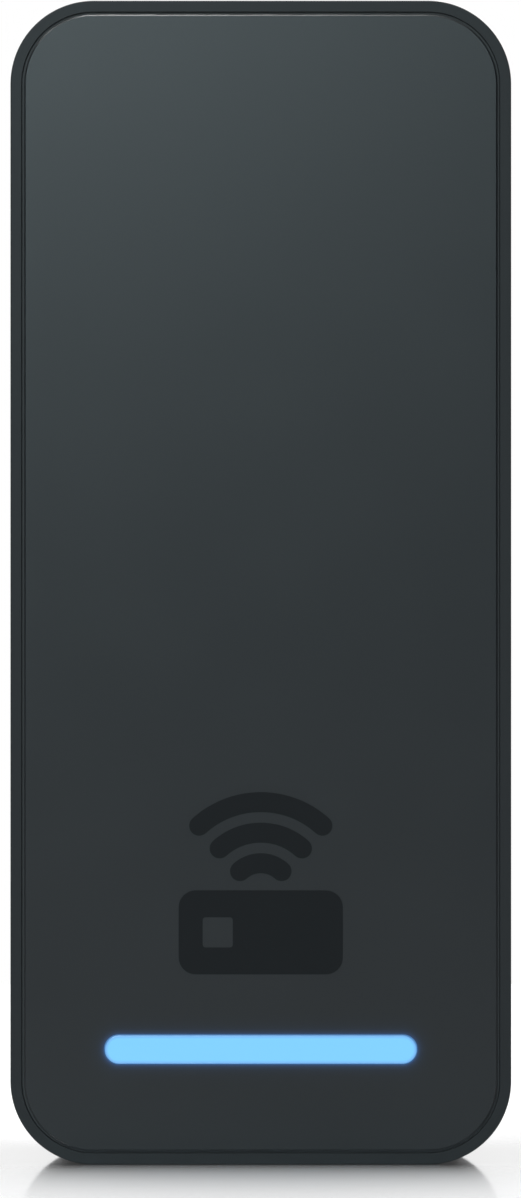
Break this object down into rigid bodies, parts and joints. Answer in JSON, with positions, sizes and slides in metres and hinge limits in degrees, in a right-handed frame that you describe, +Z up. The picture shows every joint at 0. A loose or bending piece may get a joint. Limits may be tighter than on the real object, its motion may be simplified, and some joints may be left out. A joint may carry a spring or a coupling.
{
  "type": "rfid card reader",
  "caption": "Slim wall-mounted proximity card reader with rounded corners, an inset front cover, a glowing light bar, and a housing that hooks onto a steel wall plate and locks at its foot.",
  "frame": {"origin": "middle of the wall plate's back face, on the wall plane", "axes": "+Z up the wall, +Y into the wall, so the front cover faces -Y"},
  "size_m": [0.05, 0.021, 0.1162],
  "materials": {
    "plate_steel": "zinc-plated sheet",
    "housing_plastic": "fine-textured moulded polycarbonate",
    "cover_plastic": "satin moulded polycarbonate",
    "cover_print": "dark tone-on-tone print",
    "light_plastic": "lit diffusing polycarbonate",
    "white_plastic": "moulded",
    "black_plastic": "moulded",
    "rubber": "moulded silicone",
    "board_laminate": "solder mask on glass-fibre laminate",
    "copper": "etched copper",
    "gold_contacts": "gold-plated springs in their carrier",
    "tinned_steel": "tin plated",
    "capacitor_can": "drawn can",
    "ferrite": "sintered ferrite",
    "label_film": "blank printed film",
    "screw_steel": "plated steel"
  },
  "bodies": {
    "wall_plate": {"wall_plate": "plate_steel"},
    "reader": {"rear_housing": "housing_plastic", "front_gasket": "rubber", "front_cover": "cover_plastic", "light_bar": "light_plastic", "light_reflector": "white_plastic", "jack_seal": "rubber", "vent_membrane": "white_plastic", "rating_label": "label_film", "main_board": "board_laminate", "antenna_board": "board_laminate", "antenna_coil": "copper", "ferrite_sheet": "ferrite", "antenna_header": "black_plastic", "ethernet_jack": "tinned_steel", "jack_contacts": "gold_contacts", "processor_shield": "tinned_steel", "radio_module": "tinned_steel", "reader_chip": "black_plastic", "power_transformer": "ferrite", "input_capacitor": "capacitor_can", "output_capacitor": "capacitor_can", "power_inductor": "ferrite", "buzzer": "black_plastic", "reset_switch": "black_plastic", "tamper_switch": "black_plastic", "led_1": "white_plastic", "led_2": "white_plastic", "led_3": "white_plastic", "led_4": "white_plastic", "led_5": "white_plastic", "led_6": "white_plastic", "cover_screw_1": "screw_steel", "cover_screw_2": "screw_steel", "cover_screw_3": "screw_steel", "cover_screw_4": "screw_steel", "board_screw_1": "screw_steel", "board_screw_2": "screw_steel", "board_screw_3": "screw_steel", "board_screw_4": "screw_steel"},
    "reset_button": {"reset_button": "white_plastic"},
    "tamper_plunger": {"tamper_plunger": "white_plastic"},
    "screw_retainer": {"screw_retainer": "black_plastic"},
    "security_screw": {"security_screw": "screw_steel"}
  },
  "joints": [
    {"name": "reader_swing", "type": "hinge", "parent": "wall_plate", "child": "reader", "pos_m": [0, -0.0014, 0.0554], "axis": [-1, 0, 0], "range_deg": [0, 10]},
    {"name": "tamper_travel", "type": "slide", "parent": "reader", "child": "tamper_plunger", "axis": [0, 1, 0], "range_m": [0, 0.0018]},
    {"name": "reset_press", "type": "slide", "parent": "reader", "child": "reset_button", "axis": [0, -1, 0], "range_m": [0, 0.0005], "stiffness_N_per_m": 400, "springref_m": -0.0003},
    {"name": "screw_travel", "type": "slide", "parent": "reader", "child": "screw_retainer", "axis": [0, 0, 1], "range_m": [0, 0.0024]},
    {"name": "screw_turn", "type": "hinge", "parent": "screw_retainer", "child": "security_screw", "pos_m": [0, -0.0065, -0.0535], "axis": [0, 0, 1], "range_deg": [0, 1728.1]}
  ],
  "couplings": [
    {"joint": "tamper_travel", "follows": "reader_swing", "m_per_rad": 0.010313},
    {"joint": "screw_turn", "follows": "screw_travel", "rad_per_m": 12566}
  ]
}
